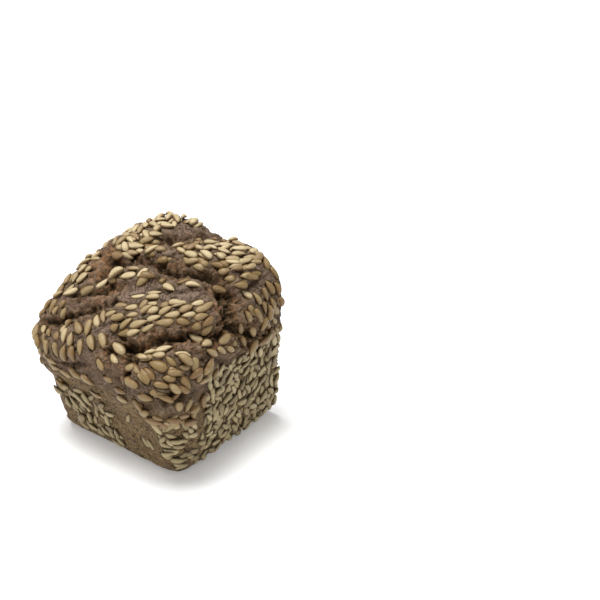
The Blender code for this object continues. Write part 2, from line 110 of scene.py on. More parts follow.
# Clusters of kernels: radius in mm, how dense and how heaped they lie, how they lean in the photograph's
# view (degrees from level, and spread), and a chain of points as above
clusters = {
    "left crown": (8, 1.0, 0.85, 15, 60, ((-29, 32, 105), (-26, 25, 107), (-24, 15, 108), (-21, 4, 110))),
    "left crown back": (5, 1.0, 0.1, 0, 30, ((-42, 1, 103), (-23, 0, 109), (-7, 0, 110))),
    "left crown foot": (3, 0.9, 0.3, -10, 30, ((-26, 42, 104), (-20, 35, 106), (-17, 29, 107))),
    "left shoulder": (6, 0.45, 0.0, 30, 35, ((-44, 18, 101), (-45, 38, 97))),
    "left side": (7.5, 0.8, 0.1, 80, 30, ((-57, 4, 76), (-58, 30, 72), (-56, 48, 74))),
    "crown middle": (2.5, 0.6, 0.1, 15, 35, ((-7, 36, 106), (2, 36, 106))),
    "crown pair": (2, 0.4, 0.0, 80, 40, ((7, 30, 107), (9, 26, 108))),
    "right crown": (6.5, 1.0, 0.5, -5, 25, ((6, 22, 109), (17, 18, 109), (26, 10, 109), (36, 9, 106))),
    "right crown front": (4.5, 1.0, 0.4, -12, 22, ((18, 30, 107), (27, 22, 107), (43, 15, 102))),
    "right crown edge": (3, 0.9, 0.2, -60, 30, ((36, 0, 106), (42, 0, 103))),
    "right group": (2.5, 0.55, 0.0, -20, 30, ((36, 24, 104), (40, 32, 101), (45, 23, 99))),
    "right brow": (3, 0.75, 0.0, -60, 15, ((49, 0, 95), (52, 1, 88))),
    "right brow front": (3, 0.75, 0.0, -55, 15, ((49, 25, 93), (52, 18, 88), (51, 9, 91))),
    "right brow middle": (3.5, 0.75, 0.1, -62, 15, ((52, 27, 86), (53, 17, 82), (54, 6, 81))),
    "right brow low": (3, 0.6, 0.0, -75, 25, ((54, 32, 80), (54, 25, 72), (54, 14, 72), (54, 5, 74))),
    "brow strip": (3.5, 0.75, 0.1, 15, 25, ((-15, 60, 99), (-7, 56, 100), (2, 53, 102))),
    "left pair": (1.5, 0.6, 0.0, -45, 15, ((15, 53, 102), (22, 54, 101))),
    "right pair": (1.5, 0.6, 0.0, -5, 10, ((26, 47, 103), (33, 46, 101))),
    "pad's back": (2, 1.0, 0.0, 5, 20, ((4, 67, 95), (19, 60, 99))),
    "pad": (4.5, 1.0, 0.05, 10, 20, ((3, 76, 90), (15, 71, 93), (28, 67, 94), (42, 55, 95))),
    "pad's front": (3.5, 1.0, 0.0, 15, 25, ((9, 81, 86), (19, 79, 87), (24, 74, 91), (48, 58, 91))),
    "left brow": (4.5, 0.9, 0.2, 40, 20, ((-43, 50, 96), (-37, 62, 95), (-41, 68, 90), (-41, 73, 87))),
    "left brow front": (2, 0.8, 0.0, 25, 12, ((-24, 65, 96), (-29, 73, 90))),
    "left end": (3, 0.8, 0.0, 62, 12, ((-52, 80, 73), (-44, 81, 79), (-35, 83, 82))),
    "left end low": (3, 0.85, 0.0, 80, 15, ((-49, 88, 68), (-39, 95, 68))),
    "heel left": (5, 0.7, 0.0, -85, 15, ((-36, 97, 65), (-29, 95, 72), (-18, 96, 72))),
    "heel middle": (4.5, 0.6, 0.0, -80, 20, ((-25, 91, 77), (-15, 90, 78), (-11, 95, 73))),
    "heel top": (3.5, 0.8, 0.0, 80, 18, ((-8, 86, 81), (-5, 83, 84), (-2, 79, 87))),
    "heel rim": (3.5, 0.5, 0.0, -65, 35, ((-7, 90, 78), (2, 89, 79), (2, 93, 74))),
    "heel pair": (2, 0.8, 0.0, -50, 15, ((13, 91, 77), (17, 90, 77))),
    "heel few": (2, 0.5, 0.0, -45, 30, ((17, 94, 74), (10, 97, 70))),
    "ledge": (2.5, 0.7, 0.0, -30, 18, ((-32, 96, 58), (-22, 96, 57), (-13, 96, 56), (-3, 96, 58))),
    "ledge right": (2, 0.5, 0.0, -30, 20, ((11, 97, 65), (23, 97, 59), (20, 96, 54))),
    "front row": (2.5, 0.6, 0.0, 5, 40, ((50, 65, 84), (54, 61, 75), (54, 53, 78), (54, 44, 74))),
    "front row end": (2, 0.5, 0.0, -60, 50, ((54, 34, 72), (54, 25, 71))),
    "corner top": (2.5, 0.85, 0.1, 15, 30, ((30, 89, 78), (35, 84, 81), (42, 80, 81))),
    "corner": (5, 0.85, 0.15, -30, 50, ((31, 95, 71), (36, 91, 74), (42, 88, 74), (49, 78, 77))),
    "corner front": (3, 0.8, 0.1, -20, 35, ((40, 96, 64), (46, 93, 64), (47, 89, 68), (52, 82, 68))),
    "knot": (3.5, 0.85, 0.3, 70, 30, ((53, 74, 72), (54, 68, 70), (54, 70, 67))),
    "low corner": (3, 0.75, 0.2, -35, 30, ((32, 96, 54), (39, 94, 47), (45, 91, 47))),
    "low corner side": (3, 0.6, 0.1, 70, 30, ((52, 86, 58), (52, 81, 53), (52, 79, 45))),
    "low corner foot": (4, 0.9, 0.4, -20, 40, ((41, 90, 39), (49, 86, 46), (51, 79, 37))),
    "corner edge": (4, 0.9, 0.4, 0, 40, ((43, 87, 29), (48, 82, 29), (50, 78, 33))),
    "corner foot": (4.5, 0.9, 0.3, 0, 30, ((42, 86, 18), (46, 82, 11), (49, 77, 14))),
    "foot left": (6, 1.0, 0.2, -50, 45, ((-35, 90, 34), (-29, 88, 27), (-21, 88, 24))),
    "foot middle": (5, 0.95, 0.2, -45, 45, ((-24, 89, 33), (-11, 90, 34), (-3, 89, 28))),
    "foot edge": (5, 0.95, 0.2, -40, 45, ((-25, 86, 14), (-10, 86, 15), (1, 86, 14))),
    "lone kernel": (2, 1.0, 0.0, -30, 5, ((-2, 92, 44), (-1, 92, 44))),
    "low lone kernel": (2, 1.0, 0.0, -55, 5, ((27, 87, 21), (28, 87, 21))),
}
wallKernelling = dict(
    density=1.0, heap=0.4, lean=76, spread=42, fullTo=56 * mm, endsAt=67 * mm, least=0.5, ragged=4 * mm,
    raggedCell=7 * mm,
)

# The solid's flat underside is symmetric about the loaf's own middle.
# Its cut face is the plane furthest back.
solid = np.array([vertex.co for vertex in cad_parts["loaf"].data.vertices])
underside = solid[solid[:, 2] < 0.01 * mm]
place = np.array([(underside[:, 0].min() + underside[:, 0].max()) / 2, solid[:, 1].max(), 0])
print("loaf's middle and cut face at", np.round(place / mm, 2), "mm")

# The photograph's view, turned from +Y and tipped down: its right, forward and up as rows
cameraLook = dict(
    turn=36.69, pitch=29.63, height=418.6 * mm, aside=-54.7 * mm, away=626.6 * mm, lens=72.0, sensor=36.0,
)
heading, tip = math.radians(cameraLook["turn"]), math.radians(cameraLook["pitch"])
viewRight = np.array([math.cos(heading), math.sin(heading), 0])
viewAhead = np.array([-math.sin(heading), math.cos(heading), 0])
viewForward = viewAhead * math.cos(tip) - (0, 0, math.sin(tip))
viewAxes = np.array([viewRight, viewForward, np.cross(viewRight, viewForward)])


def smoothStep(x):
    # 0 below 0, 1 above 1, and an S curve between
    x = np.clip(x, 0, 1)
    return x * x * (3 - 2 * x)


def bell(x):
    # 1 at 0, falling off on both sides
    return np.exp(-(x**2) / 2)


def cornerValues(corner, salt):
    # whole numbers of a lattice corner scrambled to a value from 0 to 1
    key = corner[..., 0] * 73856093 ^ corner[..., 1] * 19349663
    key = key ^ corner[..., 2] * 83492791 ^ salt * 2654435761
    key = (key & 0xFFFFFFFF) * 2246822519 & 0xFFFFFFFF
    key = (key ^ key >> 15) * 3266489917 & 0xFFFFFFFF
    return (key ^ key >> 16 & 0xFFFF) % 65536 / 65535


def latticeNoise(points, cell, salt):
    # seeded values on a cubic lattice, blended smoothly between its corners, from -1 to 1
    at = points / cell
    corner = np.floor(at).astype(np.int64)
    blend = smoothStep(at - corner)
    total = np.zeros(points.shape[:-1])
    for step in np.ndindex(2, 2, 2):
        share = np.prod(np.where(step, blend, 1 - blend), axis=-1)
        total += share * cornerValues(corner + np.array(step), salt)
    return total * 2 - 1


def fractalNoise(points, cell, octaves, salt):
    # lattice noise summed over octaves, each half the size and half the strength of the one before
    total = np.zeros(points.shape[:-1])
    for octave in range(octaves):
        total += latticeNoise(points, cell / 2**octave, salt + octave) / 2**octave
    return total


def cellDistance(points, cell, salt):
    # distance to the nearest of the seeded points that each cube of side cell holds, in cells
    at = points / cell
    corner = np.floor(at).astype(np.int64)
    nearest = np.full(points.shape[:-1], 9.0)
    for step in np.ndindex(3, 3, 3):
        near = corner + np.array(step) - 1
        jitter = np.stack([cornerValues(near, salt + axis) for axis in range(3)], axis=-1)
        nearest = np.minimum(nearest, np.linalg.norm(near + jitter - at, axis=-1))
    return nearest


def sectionPoint(turn):
    # outline of the section: two superellipse halves that meet at the rim's height
    angle = 2 * math.pi * turn - math.pi / 2
    across, up = np.cos(angle), np.sin(angle)
    power = np.where(up < 0, loaf["wallPower"], loaf["domePower"])
    reach = (np.abs(across) ** power + np.abs(up) ** power) ** (-1 / power)
    rise = np.where(up < 0, loaf["rim"], loaf["crown"] - loaf["rim"])
    return reach * across * loaf["halfWidth"], loaf["rim"] + reach * up * rise


def sectionTurns(pitch):
    # turns of the columns, set apart by the pitch of the zone that they are in
    fine = np.linspace(0, 1, 8001)
    x, z = sectionPoint(fine)
    aside = np.abs(x) > zoneEdges["aside"] * loaf["halfWidth"]
    zones = [z > loaf["rim"], aside & (z < zoneEdges["footTop"]), aside]
    gaps = np.select(zones, [pitch["dome"], pitch["foot"], pitch["wall"]], pitch["underside"])
    run = np.concatenate([[0], np.cumsum(np.hypot(np.diff(x), np.diff(z)) / gaps[1:])])
    columns = int(round(run[-1]))
    return np.interp((np.arange(columns) + 0.5) * run[-1] / columns, run, fine)


def loafSkin(pitch, rows):
    # the section carried back from the cut, round the corner of its radius and in over the heel to a pole,
    # then leant out to the rim, bulged over it, and lowered towards the heel
    x0, z0 = sectionPoint(sectionTurns(pitch))
    pole = loaf["rim"] * loaf["poleHeight"]
    reach = np.hypot(x0, z0 - pole)
    outX, outZ = x0 / reach, (z0 - pole) / reach
    dome = np.sin(np.clip((z0 - loaf["rim"]) / (loaf["crown"] - loaf["rim"]), 0, 1) * math.pi / 2) ** 0.8
    foot = np.clip(1 - z0 / (loaf["rim"] * 0.25), 0, 1) * (np.abs(outX) < 0.7)
    radius = loaf["cornerRadius"] + (loaf["shoulderRadius"] - loaf["cornerRadius"]) * dome
    radius += (loaf["footRadius"] - loaf["cornerRadius"]) * foot
    run = loaf["length"] - radius
    arc = math.pi / 2 * radius
    path = np.linspace(0, 1, rows)[:, None] * (run + arc + reach - radius)
    bend = np.clip((path - run) / radius, 0, math.pi / 2)
    back = np.where(path < run, path, run + radius * np.sin(bend))
    inward = np.where(path < run + arc, radius - radius * np.cos(bend), radius + path - run - arc)
    x, y, z = outX * (reach - inward), -back, pole + outZ * (reach - inward)
    lean = np.minimum(z, loaf["rim"])
    fade = 1 - smoothStep((z - loaf["bulgeTop"]) / loaf["bulgeFade"])
    heel = loaf["bulge"]["heel"] * smoothStep((z - loaf["ledge"]["heel"]) / loaf["ledgeRise"]) * fade
    right = loaf["bulge"]["right"] * smoothStep((z - loaf["ledge"]["right"]) / loaf["ledgeRise"]) * fade
    x = x * (1 + (loaf["wallLean"] * lean + np.where(x < 0, heel, right)) / loaf["halfWidth"])
    y = y * (1 + (loaf["heelLean"] * lean + heel) / loaf["length"])
    fall = 1 - loaf["crownFall"] * np.clip(-y / loaf["length"], 0, 1.3) ** 2
    z = np.where(z > loaf["rim"], loaf["rim"] + (z - loaf["rim"]) * fall, z)
    return np.stack([x, y, z], axis=-1)


def skinNormals(skin):
    # cross product of the steps round and back, as unit vectors
    roundStep = np.roll(skin, -1, axis=1) - np.roll(skin, 1, axis=1)
    normal = np.cross(roundStep, np.gradient(skin, axis=0))
    length = np.linalg.norm(normal, axis=-1, keepdims=True)
    normal = np.where(length > 1e-12, normal / (length + 1e-15), (0, -1, 0))
    normal[-3:] = normal[-4].mean(axis=0) / np.linalg.norm(normal[-4].mean(axis=0))
    return normal


def chainDistance(points, chain):
    # distance to a chain of straight links
    places = np.array(chain, float) * (mm, -mm, mm)
    nearest = np.full(points.shape[:-1], np.inf)
    for start, end in zip(places[:-1], places[1:]):
        link = end - start
        along = np.clip((points - start) @ link / (link @ link), 0, 1)
        nearest = np.minimum(nearest, np.linalg.norm(points - start - along[..., None] * link, axis=-1))
    return nearest


def wandered(points, strength, cell, salt):
    # points moved by seeded noise along each axis
    shift = [latticeNoise(points, cell, salt + axis) for axis in range(3)]
    return points + strength * np.stack(shift, axis=-1)


def blurred(grid, reach):
    # mean over the neighbours within reach: round the loaf first, then back along it, held at both ends
    turned = sum(np.roll(grid, step, axis=1) for step in range(-reach, reach + 1)) / (2 * reach + 1)
    rows = np.arange(len(grid))
    last = len(grid) - 1
    return sum(turned[np.clip(rows + step, 0, last)] for step in range(-reach, reach + 1)) / (2 * reach + 1)


# Crust: relief in metres, sizes of its noise, and the mesh's pitch
crustLook = dict(
    pitch=dict(dome=0.53 * mm, wall=0.75 * mm, foot=0.9 * mm, underside=2.6 * mm), rows=206,
    plateRise=2.8 * mm, plateReach=1.5, plateEdge=0.7, splitSoftness=0.72, ripple=0.9 * mm,
    rippleCell=17 * mm, warp=2.4 * mm, warpCell=8 * mm, fineWarp=2.1 * mm, fineWarpCell=3 * mm,
    crevice=3.8 * mm, creviceWidth=0.36, tornWidth=1.15, crag=2.8 * mm, cragCell=4.2 * mm,
    bead=1.0 * mm, beadCell=1.9 * mm, grain=0.75 * mm, grainCell=3.4 * mm, pores=0.7 * mm, poreCell=2.6 * mm,
    tornDepth=3, poreReach=0.3, porePatch=9 * mm, breakCell=4 * mm,
    crack=1.0 * mm, crackCell=6 * mm, crackWidth=0.09, crackWarp=1.5 * mm, crackWarpCell=2 * mm,
    crackPatch=12 * mm, hug=0.35 * mm, hugAt=0.25 * mm, hugWidth=0.6 * mm, hugReach=0.5 * mm,
    sink=0.6 * mm, sinkReach=0.8 * mm, rimWidth=1.7 * mm, recess=2.6 * mm, recessShare=1.05,
    rimSteps=((0.5, -0.05 * mm), (1.0, 0.15 * mm)), sideFrom=0.85, sideReach=0.6, cavityReach=5,
)
deepestSplit = max(depth for depth, *_ in splits.values())


def broadRelief(points):
    # plates up, splits down in a soft valley, and a slow ripple, all dying out down the tin's walls
    look = crustLook
    moved = wandered(points, look["warp"], look["warpCell"], seed)
    plate = np.zeros(points.shape[:-1])
    for radius, chain in plates.values():
        gap = chainDistance(moved, chain) / (radius * mm)
        plate = np.maximum(plate, smoothStep((look["plateReach"] - gap) / look["plateEdge"]))
    height = look["plateRise"] * plate
    for depth, width, _, chain in splits.values():
        height -= depth * mm * bell(chainDistance(moved, chain) / (width * mm) / look["splitSoftness"])
    height += look["ripple"] * latticeNoise(points, look["rippleCell"], seed)
    return height * smoothStep((points[..., 2] - zoneEdges["relief"]) / zoneEdges["reliefReach"])


def tears(points):
    # how near a place is to a split: its dark middle, its torn sides, and how orange they are
    look = crustLook
    moved = wandered(points, look["warp"], look["warpCell"], seed)
    moved = wandered(moved, look["fineWarp"], look["fineWarpCell"], seed + 20)
    crevice, torn, orange = (np.zeros(points.shape[:-1]) for _ in range(3))
    for depth, width, tint, chain in splits.values():
        gap = chainDistance(moved, chain) / (width * mm)
        crevice = np.maximum(crevice, depth / deepestSplit * bell(gap / look["creviceWidth"]))
        near = bell(gap / look["tornWidth"])
        torn = np.maximum(torn, near * min(1, depth / look["tornDepth"]))
        orange = np.maximum(orange, near * tint)
    return crevice, torn, orange


def fineRelief(points, high, crevice, torn, room):
    # broken crevices with crags and beads of torn dough beside them, cracks above the tin, grain and pores
    # all over, and dough that hugs the kernels
    look = crustLook
    crags = 1 - 2 * np.abs(fractalNoise(points, look["cragCell"], 4, seed + 40))
    beads = smoothStep(1.1 - 1.5 * cellDistance(points, look["beadCell"], seed + 45))
    grain = fractalNoise(points, look["grainCell"], 4, seed + 50)
    pit = smoothStep(1 - cellDistance(points, look["poreCell"], seed + 60) / look["poreReach"])
    pitted = smoothStep(latticeNoise(points, look["porePatch"], seed + 70) * 1.6 + 0.1)
    broken = 0.7 + 0.5 * latticeNoise(points, look["breakCell"], seed + 75)
    moved = wandered(points, look["crackWarp"], look["crackWarpCell"], seed + 76)
    vein = fractalNoise(moved, look["crackCell"], 3, seed + 79)
    cracked = bell(vein / look["crackWidth"])
    cracked = cracked * smoothStep(latticeNoise(points, look["crackPatch"], seed + 78) * 2 + 0.3)
    height = look["grain"] * grain * (0.4 + 0.6 * high)
    height += high * torn * (look["crag"] * crags + look["bead"] * (beads - 0.5))
    height -= look["crevice"] * crevice * broken * high
    height -= look["crack"] * cracked * high
    height -= look["pores"] * pit * pitted * (1 - 0.3 * high)
    hugging = bell((room - look["hugAt"]) / look["hugWidth"]) * smoothStep(1 + room / look["hugReach"])
    return height + look["hug"] * hugging - look["sink"] * smoothStep(-room / look["sinkReach"])


def pieceFrom(name, points, faces, values):
    # a mesh from arrays of points and faces, turned outwards where its volume comes out negative
    points = points.reshape(-1, 3)
    volume = 0
    for fan in faces:
        for second in range(1, fan.shape[1] - 1):
            a, b, c = points[fan[:, 0]], points[fan[:, second]], points[fan[:, second + 1]]
            volume += (a * np.cross(b, c)).sum()
    if volume < 0:
        faces = [fan[:, ::-1] for fan in faces]
    mesh = bpy.data.meshes.new(name)
    mesh.from_pydata(points.tolist(), [], [face for fan in faces for face in fan.tolist()])
    for label, array in values.items():
        layer = mesh.attributes.new(label, "FLOAT", "POINT")
        layer.data.foreach_set("value", np.ascontiguousarray(array, np.float32).ravel())
    mesh.shade_smooth()
    piece = bpy.data.objects.new(name, mesh)
    bpy.context.scene.collection.objects.link(piece)
    return piece


def shellFaces(rows, columns):
    # quads between neighbouring rows of closed rings, then triangles from the first and the last row to a
    # pole each. The poles come after the rings' points.
    row, column = np.meshgrid(np.arange(rows - 1), np.arange(columns), indexing="ij")
    a, b = row * columns + column, row * columns + (column + 1) % columns
    pole = np.full(columns, rows * columns)
    return [
        np.stack([a, b, b + columns, a + columns], axis=-1).reshape(-1, 4),
        np.stack([b[0], a[0], pole], axis=-1),
        np.stack([a[-1] + columns, b[-1] + columns, pole + 1], axis=-1),
    ]


def facePlane(outline, share, depth):
    # the outline shrunk towards the face's middle by a share, set back from the cut plane by a depth
    ring = faceMiddle + (outline - faceMiddle) * (1 - share)
    return ring * (1, 0, 1) - (0, depth, 0)


def trimmed(grid):
    # cut off flat at the cut face and the underside, which is then the ground
    grid[0, :, 1] = 0
    grid[..., 1] = np.minimum(grid[..., 1], 0)
    grid[..., 2] = np.maximum(grid[..., 2], loaf["undersideTrim"]) - loaf["undersideTrim"]
    return grid


def makeCrust():
    # the displaced skin, a narrow rim turned on to the cut face, and a recess behind the crumb
    look = crustLook
    outline = crustPoints[0]
    widths = look["rimWidth"] / np.linalg.norm(outline - faceMiddle, axis=-1)[:, None]
    rims = [facePlane(outline, widths * share, depth) for share, depth in look["rimSteps"]]
    rims.append(facePlane(outline, widths * look["recessShare"], look["recess"]))
    rings = np.concatenate([rims[::-1], crustPoints[:-1]])
    poles = [faceMiddle - (0, look["recess"], 0), crustPoints[-1].mean(axis=0)]
    points = np.vstack([rings.reshape(-1, 3), poles]) + place
    faces = shellFaces(*rings.shape[:2])

    def padded(values):
        # the rims take the outline's values, and each pole the mean of its ring
        first = np.repeat(values[:1], len(rims), axis=0)
        return np.concatenate([first, values[:-1]]).ravel().tolist() + [values[0].mean(), values[-1].mean()]

    values = {"crevice": crevice, "torn": torn, "orange": orange, "high": high, "cavity": cavity}
    values["room"] = room / mm
    # how steep the skin is there, which paints shade on the crust's steep places
    values["side"] = smoothStep((look["sideFrom"] - normals[..., 2]) / look["sideReach"])
    return pieceFrom("crust", points, faces, {label: padded(array) for label, array in values.items()})


# Crumb: the cut face in metres. A pore is the size of its cell, its reach in cells and its depth.
crumbLook = dict(
    rings=118, tuck=0.5 * mm, thickness=1.2 * mm, fadeWidth=1.2 * mm,
    pores=((5.2 * mm, 0.42, 1.0 * mm), (2.6 * mm, 0.46, 0.7 * mm), (1.4 * mm, 0.5, 0.45 * mm)),
    rough=0.3 * mm, roughCell=1.6 * mm, warp=1.2 * mm, warpCell=2.2 * mm, proudest=0.3 * mm,
    overlap=0.25 * mm, ringPower=0.9,
)


def makeCrumb():
    # rings shrinking from the crust's rim to the middle, set back where pores of three sizes open
    look = crumbLook
    outline = crustPoints[0]
    distance = np.linalg.norm(outline - faceMiddle, axis=-1)[:, None]
    edge = (crustLook["rimWidth"] - look["overlap"]) / distance
    shares = np.linspace(0, 1, look["rings"], endpoint=False) ** look["ringPower"]
    front = np.array([facePlane(outline, edge + (1 - edge) * share, 0) for share in shares])
    depth = np.zeros(front.shape[:2])
    bent = wandered(front, look["warp"], look["warpCell"], seed + 80)
    for index, (cell, reach, deep) in enumerate(look["pores"]):
        far = cellDistance(bent, cell, seed + 90 + 5 * index)
        depth += deep * smoothStep(1 - far / reach)
    depth += look["rough"] * fractalNoise(front, look["roughCell"], 2, seed + 120)
    inside = smoothStep(shares[:, None] * distance.mean() / look["fadeWidth"])
    front[..., 1] = -(look["tuck"] * (1 - inside) + np.maximum(depth, -look["proudest"]) * inside)
    back = facePlane(outline, edge, look["tuck"] + look["thickness"])
    rings = np.concatenate([[back], front])
    poles = [faceMiddle + (0, ring[:, 1].mean(), 0) for ring in (back, front[-1])]
    points = np.vstack([rings.reshape(-1, 3), poles]) + place
    poreShade = np.concatenate([0 * depth[:1], np.clip(depth / mm, 0, 1) * inside]).ravel().tolist()
    return pieceFrom("crumb", points, shellFaces(*rings.shape[:2]), {"poreShade": poreShade + [0, 0]})


# Kernels: lengths in metres, proportions of the length, and how they are laid.
# Those of the dome stand proud and lie over each other, and those of the walls are pressed in by the tin.
domeKernels = dict(
    tries=60000, overTries=16000, length=(9.0 * mm, 0.8 * mm), width=(0.53, 0.045), thickness=(0.33, 0.04),
    gap=0.76, lift=0.14, tilt=5, bend=0.03, blunt=(0.38, 0.48), sharp=(0.60, 0.86),
)
wallKernels = dict(
    tries=60000, overTries=14000, length=(8.0 * mm, 1.0 * mm), width=(0.54, 0.05), thickness=(0.29, 0.03),
    gap=0.76, lift=0.03, tilt=7, bend=0.03, blunt=(0.40, 0.50), sharp=(0.56, 0.84),
)
kernelMesh = dict(
    stations=6, sides=8, facet=0.08, lengths=(7 * mm, 10.8 * mm), shorts=(5.2 * mm, 7.4 * mm),
    shortShare=0.08, widths=(0.34, 0.58), thicknesses=(0.2, 0.4), pastCut=0.1 * mm, offGround=0.05 * mm,
)
kernelLie = dict(
    plainDensity=0.016, plainSpread=60, leastShare=0.01, spreadShare=0.6, drift=26, driftCell=13 * mm,
    liftSpread=0.08, leastReach=0.5 * mm, overLift=0.42, overTilt=9, overRoom=0.8, overSpreadShare=0.8,
)
settling = dict(
    beside=1.6 * mm, within=3.5 * mm, fewest=9, drop=(-1.5 * mm, 1.2 * mm), slope=0.35, slopeEase=0.8,
    curve=(-1.4 * mm, 0.4 * mm),
)
farAway = 9 * mm


def clusterValues(points):
    # how dense and how heaped kernels lie, how they lean and how far that spreads, from the densest cluster
    # there. On the walls they lie all over, and thin out towards the heel.
    values = np.zeros((*points.shape[:-1], 4)) + (kernelLie["plainDensity"], 0, 0, kernelLie["plainSpread"])
    for radius, density, heap, lean, spread, chain in clusters.values():
        inside = smoothStep(radius + 1 - chainDistance(points, chain) / mm)[..., None]
        here = inside * (density, heap, 0, 0) + (0, 0, lean, spread)
        values = np.where(here[..., :1] > values[..., :1], here, values)
    wall = wallKernelling
    edge = wall["ragged"] * latticeNoise(points, wall["raggedCell"], seed + 140)
    away = (edge - points[..., 1] - wall["fullTo"]) / (wall["endsAt"] - wall["fullTo"])
    aside = np.abs(points[..., 0]) > loaf["halfWidth"] * zoneEdges["onWall"]
    onWall = aside & (points[..., 2] + edge < loaf["rim"]) & (away < 1)
    density = wall["density"] + (wall["least"] - wall["density"]) * smoothStep(away)
    full = np.broadcast_arrays(density, wall["heap"] * density, wall["lean"], wall["spread"])
    full = np.stack(full, axis=-1)
    return np.where((onWall & (density > values[..., 0]))[..., None], full, values)


def skinSpots(draw, tries, chosen):
    # seeded spots spread evenly over the chosen cells of the skin: bare skin, seat and normal there
    across = np.roll(skin, -1, axis=1)[:-1] - skin[:-1]
    area = np.linalg.norm(np.cross(across, skin[1:] - skin[:-1]), axis=-1) * chosen[:-1]
    cells = draw.choice(area.size, tries, p=area.ravel() / area.sum())
    row, column = np.divmod(cells, skin.shape[1])
    along, aside = draw.random((2, tries, 1))
    following = (column + 1) % skin.shape[1]

    def blend(grid):
        near = grid[row, column] * (1 - aside) + grid[row, following] * aside
        far = grid[row + 1, column] * (1 - aside) + grid[row + 1, following] * aside
        return near * (1 - along) + far * along

    return blend(skin), blend(seat), blend(seatNormals)


def withRoom(balls, radius, share):
    # kernels tried one after another, the densest clusters first: each is kept where there is room left
    kept = np.zeros(len(balls), bool)
    keptBalls, keptRadius = np.zeros((0, 3)), np.zeros(0)
    wanted = (share > kernelLie["leastShare"]).sum()
    for index in np.argsort(-share, kind="stable")[:wanted]:
        if len(keptBalls):
            space = np.linalg.norm(keptBalls[:, None] - balls[index], axis=-1).min(axis=1) - keptRadius
            if space.min() < radius[index]:
                continue
        kept[index] = True
        keptBalls = np.vstack([keptBalls, balls[index]])
        keptRadius = np.append(keptRadius, [radius[index]] * balls.shape[1])
    return kept


def layKernels(look, draw, tries, chosen, over):
    # lies and sizes drawn for the seeded spots, of which those with room are kept.
    # Kernels laid over others keep clear of each other alone.
    lie, limits = kernelLie, kernelMesh
    at, on, facing = skinSpots(draw, tries, chosen)
    density, heap, lean, spread = np.moveaxis(clusterValues(at), -1, 0)
    share = heap if over else density
    facing /= np.linalg.norm(facing, axis=-1, keepdims=True)
    drift = latticeNoise(at, lie["driftCell"], seed + 130) * np.minimum(spread, lie["drift"])
    spreadShare = lie["overSpreadShare" if over else "spreadShare"]
    turn = lean + drift + draw.normal(0, 1, tries) * spread * spreadShare
    turn = np.radians(turn + 180 * (draw.random(tries) < 0.5))[:, None]
    # the way along the crust that shows as that lean in the photograph's view
    shown = viewAxes[0] * np.cos(turn) + viewAxes[2] * np.sin(turn)
    longWay = np.cross(np.cross(viewAxes[1], shown), facing)
    longWay /= np.linalg.norm(longWay, axis=-1, keepdims=True)
    tilt = np.radians(draw.normal(0, lie["overTilt"] if over else look["tilt"], (tries, 1)))
    longWay = longWay * np.cos(tilt) + facing * np.sin(tilt)
    sideWay = np.cross(facing, longWay)
    sideWay /= np.linalg.norm(sideWay, axis=-1, keepdims=True)
    length = np.clip(draw.normal(*look["length"], tries), *limits["lengths"])
    width = length * np.clip(draw.normal(*look["width"], tries), *limits["widths"])
    thickness = length * np.clip(draw.normal(*look["thickness"], tries), *limits["thicknesses"])
    short = draw.random(tries) < limits["shortShare"]
    length = np.where(short, draw.uniform(*limits["shorts"], tries), length)
    lift = look["lift"] + draw.normal(0, lie["liftSpread"], tries) + over * lie["overLift"]
    centre = on + facing * (thickness * lift)[:, None]
    # a kernel's room is three balls along it, and more of it where they lie less dense
    reach = np.maximum(length - width, lie["leastReach"]) / 2
    balls = centre[:, None] + longWay[:, None] * (reach[:, None] * (-1, 0, 1))[..., None]
    radius = width / 2 * look["gap"] / np.sqrt(np.maximum(share, lie["leastShare"]))
    radius *= lie["overRoom"] if over else 1
    kept = withRoom(balls, radius, share)
    laid = dict(centre=centre, longWay=longWay, sideWay=sideWay, length=length, width=width)
    laid.update(thickness=thickness, lift=thickness * lift)
    return {label: array[kept] for label, array in laid.items()}


def settled(laid):
    # how far each kernel's middle line drops, slopes and bends to follow the seat under it: a parabola
    # fitted to the seat's points below the kernel, eased so that the kernels stay nearly straight
    fits = np.zeros((len(laid["length"]), 3))
    coarse = seat[::2, ::2].reshape(-1, 3)
    lies = zip(laid["centre"], laid["longWay"], laid["sideWay"], laid["length"])
    for index, (centre, ahead, aside, length) in enumerate(lies):
        offset = coarse - centre
        offset = offset[np.abs(offset).max(axis=-1) < length / 2]
        along, across, up = offset @ ahead, offset @ aside, offset @ np.cross(ahead, aside)
        under = (np.abs(across) < settling["beside"]) & (np.abs(up) < settling["within"])
        if under.sum() > settling["fewest"]:
            fits[index] = np.polyfit(along[under], up[under], 2)[::-1]
    fits[:, 0] = np.clip(fits[:, 0] + laid["lift"] * (fits[:, 0] != 0), *settling["drop"])
    fits[:, 1] = np.clip(fits[:, 1], -settling["slope"], settling["slope"]) * settling["slopeEase"]
    half = laid["length"] / 2
    fits[:, 2] = np.clip(fits[:, 2] * half**2, *settling["curve"]) / half**2
    return fits


def kernelRoom(points, laid):
    # distance to the nearest kernel's middle line, less half its width, from the kernels near each row
    nearest = np.full(points.shape[:-1], farAway)
    reach = np.maximum(laid["length"] - laid["width"], 0) / 2
    for row, places in enumerate(points):
        low, high = places.min(axis=0) - farAway, places.max(axis=0) + farAway
        near = np.all((laid["centre"] > low) & (laid["centre"] < high), axis=-1)
        if near.any():
            offset = places[:, None] - laid["centre"][near]
            along = np.clip((offset * laid["longWay"][near]).sum(axis=-1), -reach[near], reach[near])
            offset -= along[..., None] * laid["longWay"][near]
            gap = np.linalg.norm(offset, axis=-1) - laid["width"][near] / 2
            nearest[row] = np.minimum(nearest[row], gap.min(axis=1))
    return nearest


